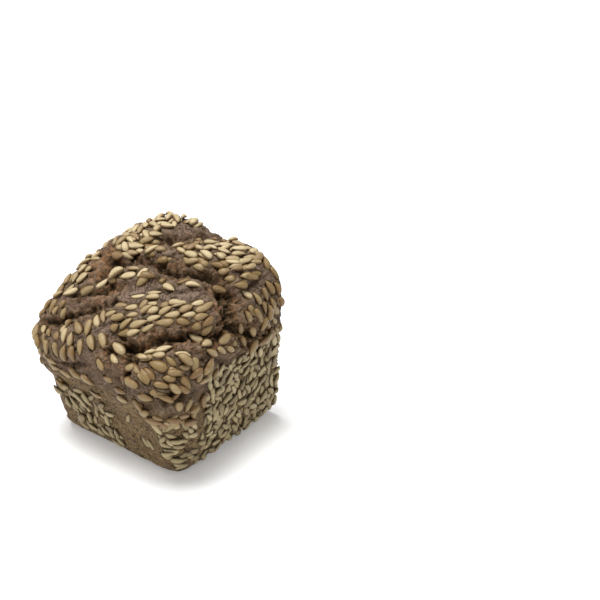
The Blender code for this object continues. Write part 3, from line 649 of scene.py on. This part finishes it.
def kernelsFrom(name, laid, look, draw):
    # each kernel: rings of a flattened, faceted ellipse along a bent line, widest over a third of the way
    # along, blunt at one end and pointed at the other, and cut off flat at the cut face and the underside
    count = len(laid["length"])
    stations, sides = kernelMesh["stations"], kernelMesh["sides"]
    t = (1 - np.cos(np.linspace(0, math.pi, stations + 2)[1:-1])) / 2
    blunt, sharp = (draw.uniform(*look[end], (count, 1)) for end in ("blunt", "sharp"))
    girth = t**blunt * (1 - t) ** sharp
    girth = (girth / girth.max(axis=1, keepdims=True))[:, :, None]
    angle = 2 * math.pi * np.arange(sides) / sides
    length, width, thickness = (laid[label][:, None, None] for label in ("length", "width", "thickness"))
    girth = girth * (1 - kernelMesh["facet"] * np.abs(np.sin(2 * angle)))
    across = girth * np.cos(angle) * width / 2
    up = girth * np.sin(angle) * thickness / 2
    arch = (1 - (2 * t - 1) ** 2)[None, :, None]
    across = across + arch * draw.normal(0, look["bend"], (count, 1, 1)) * length
    along = (t - 0.5)[None, :, None] * length + 0 * up
    drop, slope, curve = (column[:, None, None] for column in laid["settle"].T)
    up = up + arch * draw.normal(0, look["bend"], (count, 1, 1)) * length
    up = up + drop + slope * along + curve * along**2
    tips = laid["length"][:, None] * np.array([-0.5, 0.5])
    tipsUp = drop[..., 0] + slope[..., 0] * tips + curve[..., 0] * tips**2
    normal = np.cross(laid["longWay"], laid["sideWay"])

    def toWorld(a, b, c):
        extra = (slice(None),) + (None,) * (a.ndim - 1)
        at = laid["centre"][extra] + a[..., None] * laid["longWay"][extra]
        return at + b[..., None] * laid["sideWay"][extra] + c[..., None] * normal[extra]

    rings = toWorld(along, across, up).reshape(count, -1, 3)
    ends = toWorld(tips, 0 * tips, tipsUp)
    points = np.concatenate([rings, ends], axis=1)
    points[..., 1] = np.minimum(points[..., 1], kernelMesh["pastCut"])
    points[..., 2] = np.maximum(points[..., 2], kernelMesh["offGround"])
    each = points.shape[1]
    quads, *fans = shellFaces(stations, sides)
    starts = (np.arange(count) * each)[:, None, None]
    faces = [(quads + starts).reshape(-1, 4), (np.vstack(fans) + starts).reshape(-1, 3)]
    values = {
        "lengthwise": np.tile(np.concatenate([np.repeat(t, sides), [0, 1]]), count),
        "sideways": np.tile(np.concatenate([np.tile(np.abs(np.cos(angle)), stations), [0.7, 0.7]]), count),
        "tone": np.repeat(draw.random(count), each),
        "toast": np.repeat(draw.random(count), each),
        # how far the kernel faces up, which paints light on its top
        "topLight": np.repeat(np.abs(normal[:, 2]), each),
    }
    return pieceFrom(name, points + place, faces, values)


class Wire:
    # an output socket: arithmetic on it adds Math nodes
    def __init__(self, graph, socket):
        self.graph, self.socket = graph, socket

    def math(self, operation, first, second=0.0):
        return self.graph.node("ShaderNodeMath", {"operation": operation}, {0: first, 1: second})

    def __add__(self, other):
        return self.math("ADD", self, other)

    def __sub__(self, other):
        return self.math("SUBTRACT", self, other)

    def __rsub__(self, other):
        return self.math("SUBTRACT", other, self)

    def __mul__(self, other):
        return self.math("MULTIPLY", self, other)

    __radd__ = __add__
    __rmul__ = __mul__

    def clamped(self):
        return self.graph.node("ShaderNodeClamp", {}, {"Value": self})


class Graph:
    # the nodes of one material, laid to its Principled shader
    def __init__(self, name):
        self.material = bpy.data.materials.new(name)
        self.material.use_nodes = True
        self.tree = self.material.node_tree
        self.shader = self.tree.nodes["Principled BSDF"]
        self.spot = self.node("ShaderNodeTexCoord", {}, {}, "Object")

    def node(self, kind, settings, sockets, output=0):
        made = self.tree.nodes.new(kind)
        for label, value in settings.items():
            setattr(made, label, value)
        self.fill(made, sockets)
        return Wire(self, made.outputs[output])

    def fill(self, made, sockets):
        for label, value in sockets.items():
            if isinstance(value, Wire):
                self.tree.links.new(value.socket, made.inputs[label])
            elif value is not None:
                socket = made.inputs[label]
                colour = isinstance(value, tuple) and socket.type == "RGBA"
                socket.default_value = (*value, 1) if colour else value

    def noise(self, size, detail=3.0, roughness=0.55, distortion=0.0):
        sockets = {"Vector": self.spot, "Scale": 1 / size, "Detail": detail}
        sockets.update({"Roughness": roughness, "Distortion": distortion})
        return self.node("ShaderNodeTexNoise", {}, sockets, "Fac")

    def spots(self, size, reach, edge):
        # 1 at the middle of each cell's spot, 0 outside its reach
        far = self.node("ShaderNodeTexVoronoi", {}, {"Vector": self.spot, "Scale": 1 / size}, "Distance")
        return self.ramp(far, reach, reach - edge)

    def ramp(self, value, start, end):
        # 0 at start, 1 at end, held outside
        sockets = {"Value": value, "From Min": start, "From Max": end, "To Min": 0.0, "To Max": 1.0}
        return self.node("ShaderNodeMapRange", {"interpolation_type": "SMOOTHSTEP"}, sockets)

    def value(self, label):
        return self.node("ShaderNodeAttribute", {"attribute_name": label}, {}, "Fac")

    def mix(self, factor, first, second):
        return self.node("ShaderNodeMix", {"data_type": "RGBA"}, {0: factor, 6: first, 7: second}, 2)

    def bump(self, height, strength, distance, normal=None):
        sockets = {"Height": height, "Strength": strength, "Distance": distance, "Normal": normal}
        return self.node("ShaderNodeBump", {}, sockets)


# Colours are linear
crustColours = dict(
    # The darkest colours are dark dough in the splits and painted shade: in cracks, hollows and pores, on
    # steep places and beside the kernels
    smoothCrust=(0.246, 0.173, 0.132), darkCrust=(0.088, 0.056, 0.036), palerCrust=(0.310, 0.232, 0.160),
    seamDoughAndShade=(0.100, 0.066, 0.030), tinPale=(0.290, 0.200, 0.098), sideCrust=(0.136, 0.088, 0.048),
    tear=(0.360, 0.165, 0.054), deep=(0.066, 0.041, 0.020), crumbled=(0.112, 0.063, 0.033),
    tin=(0.265, 0.178, 0.083), tinDark=(0.085, 0.052, 0.024), poreShade=(0.030, 0.018, 0.009),
)
# Noises: size, detail, roughness, distortion
crustNoises = dict(
    broad=(9 * mm, 4), fine=(1.6 * mm, 4, 0.65), speck=(0.9 * mm, 3, 0.7), crack=(9 * mm, 4, 0.62, 0.9),
    torn=(2.4 * mm, 4, 0.7, 0.6), lump=(2.2 * mm, 4, 0.65),
)
# Layers of colour, each over the last: noise, where in it the layer starts and is full, strength, colour
openLayers = (
    ("broad", 0.42, 0.72, 0.7, "darkCrust"), ("fine", 0.48, 0.75, 0.6, "palerCrust"),
    ("speck", 0.54, 0.38, 0.85, "darkCrust"),
)
tinLayers = (
    ("fine", 0.35, 0.75, 1.0, "tinDark"), ("broad", 0.5, 0.75, 0.5, "smoothCrust"),
    ("broad", 0.5, 0.3, 0.7, "tinPale"), ("speck", 0.54, 0.36, 0.85, "tinDark"),
)
# Dark spots, painted shade of pores: size, reach and soft edge in cells, noise and where in it they start
# and are full
openSpots = ((1.7 * mm, 0.24, 0.12, "fine", 0.55, 0.42),)
tinSpots = ((3.2 * mm, 0.27, 0.08, "broad", 0.35, 0.50), (1.2 * mm, 0.26, 0.12, "fine", 0.45, 0.6))


def layered(g, noises, base, layers, spots):
    for label, start, end, strength, colour in layers:
        base = g.mix(g.ramp(noises[label], start, end) * strength, base, crustColours[colour])
    for size, reach, edge, label, start, end in spots:
        # dark spots painted as the shade in pores
        spot = g.spots(size, reach, edge) * g.ramp(noises[label], start, end)
        base = g.mix(spot, base, crustColours["poreShade"])
    return base


def crustMaterial():
    g = Graph("bakedCrust")
    c = crustColours
    noises = {label: g.noise(*values) for label, values in crustNoises.items()}
    broad, fine, crack, torn = (noises[label] for label in ("broad", "fine", "crack", "torn"))
    cracks = g.ramp(crack, 0.45, 0.485) * g.ramp(crack, 0.52, 0.485)
    base = layered(g, noises, c["smoothCrust"], openLayers, openSpots)
    # thin dark cracks: painted shade in cracks made by the shader and its bump alone
    base = g.mix(cracks * g.ramp(broad, 0.60, 0.45) * 0.95, base, c["deep"])
    # darker on steep places, where less light falls: painted shade
    base = g.mix(g.value("side") * (0.2 + 0.75 * g.ramp(fine, 0.35, 0.6)), base, c["sideCrust"])
    # crust that lay against the tin below, open crust above
    tinned = layered(g, noises, c["tin"], tinLayers, tinSpots)
    base = g.mix(g.value("high"), tinned, base)
    # crumbled and orange beside the splits, painted shade with some darker dough between the kernels,
    # painted light on crags, and painted shade in hollows
    base = g.mix((g.value("torn") * 0.8).clamped(), base, c["crumbled"])
    orange = g.value("orange") * (0.15 + 0.80 * g.ramp(torn, 0.42, 0.58))
    base = g.mix(orange.clamped(), base, c["tear"])
    # painted shade, with some darker dough, close beside the kernels
    base = g.mix(g.ramp(g.value("room"), 1.2, 0.1) * (0.5 + 0.25 * g.value("high")), base, c["seamDoughAndShade"])
    cavity = g.value("cavity")
    base = g.mix(g.ramp(cavity, -0.15, -1.1) * 0.35, base, c["palerCrust"])
    # dark crumbs in the torn sides, and dark dough with painted shade down in the splits, darker the deeper
    # they are
    dark = g.value("torn") * g.ramp(torn, 0.56, 0.40) * 0.7 + g.value("crevice") * 1.1
    # painted shade in the hollows of the relief
    dark = (dark + g.ramp(cavity, 0.15, 1.1) * 0.8).clamped()
    base = g.mix(dark, base, c["deep"])
    normal = g.bump(noises["speck"], 0.9, 0.6 * mm)
    normal = g.bump(noises["lump"], 0.8, 1.1 * mm, normal)
    normal = g.bump(1.0 - cracks, 0.8, 0.8 * mm, normal)
    roughness = 0.7 - 0.16 * g.ramp(fine, 0.4, 0.7)
    g.fill(g.shader, {"Base Color": base, "Roughness": roughness, "Normal": normal})
    g.fill(g.shader, {"Specular IOR Level": 0.12})
    return g.material


crumbColours = dict(
    body=(0.105, 0.070, 0.043), pale=(0.165, 0.112, 0.068), grey=(0.085, 0.064, 0.045),
    holeShade=(0.030, 0.019, 0.012), grain=(0.34, 0.20, 0.09),
)


def crumbMaterial():
    g = Graph("ryeCrumb")
    c = crumbColours
    base = g.mix(g.ramp(g.noise(1.3 * mm, 4, 0.7), 0.38, 0.66), c["body"], c["pale"])
    base = g.mix(g.ramp(g.noise(11 * mm, 3), 0.4, 0.65) * 0.6, base, c["grey"])
    # pores painted darker the deeper they are: painted shade in the holes
    base = g.mix((g.value("poreShade") * 0.85).clamped(), base, c["holeShade"])
    base = g.mix(g.spots(6.5 * mm, 0.13, 0.05), base, c["grain"])
    normal = g.bump(g.noise(0.6 * mm, 4, 0.7), 0.7, 0.35 * mm)
    g.fill(g.shader, {"Base Color": base, "Roughness": 0.88, "Normal": normal, "Specular IOR Level": 0.25})
    return g.material


kernelColours = dict(
    dome=dict(
        pale=(0.575, 0.460, 0.266), body=(0.255, 0.170, 0.068), toasted=(0.190, 0.100, 0.038),
        edge=(0.160, 0.084, 0.026),
    ),
    wall=dict(
        pale=(0.650, 0.545, 0.310), body=(0.320, 0.245, 0.115), toasted=(0.160, 0.110, 0.052),
        edge=(0.105, 0.072, 0.036),
    ),
)


def kernelMaterial(kind):
    g = Graph(kind + "Kernel")
    c = kernelColours[kind]
    streaks = g.noise(0.9 * mm, 3, 0.6)
    # paler where the kernel faces up: painted light on top, over its own tone and streaks
    paleness = g.value("tone") * 0.5 + streaks * 0.4 + g.ramp(g.value("topLight"), 0.6, 1.05) * 0.75
    base = g.mix(g.ramp(paleness, 0.3, 1.3), c["body"], c["pale"])
    base = g.mix(g.ramp(g.value("toast"), 0.70, 1.0) * 0.7, base, c["toasted"])
    lengthwise = g.value("lengthwise")
    tips = g.ramp(lengthwise, 0.74, 1.0) * 0.9 + g.ramp(lengthwise, 0.10, 0.0) * 0.4
    base = g.mix((tips * g.ramp(g.noise(2.0 * mm, 2), 0.3, 0.6)).clamped(), base, c["toasted"])
    # darker towards a kernel's sides: toasted edges, and painted shade where it turns down into the crust
    base = g.mix(g.ramp(g.value("sideways"), 0.48, 1.0) * 0.9, base, c["edge"])
    normal = g.bump(g.noise(1.4 * mm, 3, 0.6), 0.8, 0.6 * mm)
    g.fill(g.shader, {"Base Color": base, "Roughness": 0.42, "Normal": normal, "Specular IOR Level": 0.35})
    return g.material


def dress(piece, material):
    piece.data.materials.append(material)
    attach(piece, "root")
    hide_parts("loaf")


# Stage: pale floor, soft light, and the camera at the photograph's view
stageLook = dict(
    floor=(0.92, 0.92, 0.92), floorGlow=0.24, floorReach=12.0, sky=(1.0, 1.0, 1.0), skyStrength=0.36,
    aim=(0, 0, 0.05),
    key=dict(at=(-0.32, -0.2, 2.9), size=1.25, power=102),
    fill=dict(at=(-0.8, -1.2, 0.8), size=1.2, power=1.5),
)


def makeStage():
    reach = stageLook["floorReach"]
    corners = [(-reach, -reach, 0), (reach, -reach, 0), (reach, reach, 0), (-reach, reach, 0)]
    floor = bpy.data.meshes.new("floor")
    floor.from_pydata(corners, [], [(0, 1, 2, 3)])
    floor = bpy.data.objects.new("floor", floor)
    bpy.context.scene.collection.objects.link(floor)
    g = Graph("paleFloor")
    g.fill(g.shader, {"Base Color": stageLook["floor"], "Roughness": 0.9, "Specular IOR Level": 0.1})
    g.fill(g.shader, {"Emission Color": stageLook["floor"], "Emission Strength": stageLook["floorGlow"]})
    floor.data.materials.append(g.material)
    for name in ("key", "fill"):
        look = stageLook[name]
        lamp = bpy.data.lights.new(name, "AREA")
        lamp.energy, lamp.size = look["power"], look["size"]
        holder = bpy.data.objects.new(name, lamp)
        holder.location = look["at"]
        beam = Vector(stageLook["aim"]) - holder.location
        holder.rotation_euler = beam.to_track_quat("-Z", "Y").to_euler()
        bpy.context.scene.collection.objects.link(holder)
    world = bpy.data.worlds.new("studio")
    world.use_nodes = True
    background = world.node_tree.nodes["Background"].inputs
    background["Color"].default_value = (*stageLook["sky"], 1)
    background["Strength"].default_value = stageLook["skyStrength"]
    bpy.context.scene.world = world
    bpy.context.scene.view_settings.view_transform = "Standard"


def makeCamera():
    # at the photograph's place, looking along the view
    look = cameraLook
    right, forward, above = (Vector(axis) for axis in viewAxes)
    up = Vector((0, 0, 1))
    ahead = up.cross(right)
    lens = bpy.data.cameras.new("camera")
    lens.lens, lens.sensor_width = look["lens"], look["sensor"]
    camera = bpy.data.objects.new("camera", lens)
    at = Vector(place) + up * look["height"] - right * look["aside"] - ahead * look["away"]
    camera.matrix_world = Matrix.Translation(at) @ Matrix((right, above, -forward)).transposed().to_4x4()
    bpy.context.scene.collection.objects.link(camera)
    bpy.context.scene.camera = camera


skin = loafSkin(crustLook["pitch"], crustLook["rows"])
normals = skinNormals(skin)
broad = broadRelief(skin)
seat = trimmed(skin + normals * broad[..., None])  # what the kernels lie on
seatNormals = skinNormals(seat)
height = skin[..., 2]
ontoHeel = skin[..., 1] < -zoneEdges["heel"] * loaf["length"]
isDome = (height > loaf["rim"]) | (ontoHeel & (height > zoneEdges["heelKernels"]))
isWall = ~isDome & (height > zoneEdges["wallKernels"])
draw = np.random.default_rng(seed)
pieces, room = {}, np.full(skin.shape[:-1], farAway)
for kind, look, zone in (("dome", domeKernels, isDome), ("wall", wallKernels, isWall)):
    lower = layKernels(look, draw, look["tries"], zone, 0)
    upper = layKernels(look, draw, look["overTries"], zone, 1)
    room = np.minimum(room, kernelRoom(seat, lower))
    laid = {label: np.concatenate([lower[label], upper[label]]) for label in lower}
    laid["settle"] = settled(laid)
    pieces[kind] = kernelsFrom(kind + "Kernels", laid, look, draw)
    print(kind, "kernels:", len(lower["length"]), "and", len(upper["length"]), "over them")

high = smoothStep((height - zoneEdges["crust"]) / zoneEdges["crustReach"])
crevice, torn, orange = (mask * high for mask in tears(skin))
relief = broad + fineRelief(skin, high, crevice, torn, room)
# how far each place lies below its neighbours, in mm: it paints shade in the hollows and light on the crags
cavity = (blurred(relief, crustLook["cavityReach"]) - relief) / mm
crustPoints = trimmed(skin + normals * relief[..., None])
crust = makeCrust()
print("crust:", len(crust.data.polygons), "faces")
crumb = makeCrumb()
print("crumb:", len(crumb.data.polygons), "faces")

dress(crust, crustMaterial())
dress(crumb, crumbMaterial())
for kind, piece in pieces.items():
    dress(piece, kernelMaterial(kind))
makeStage()
makeCamera()
bpy.context.view_layer.update()
print("materials, stage and camera set")
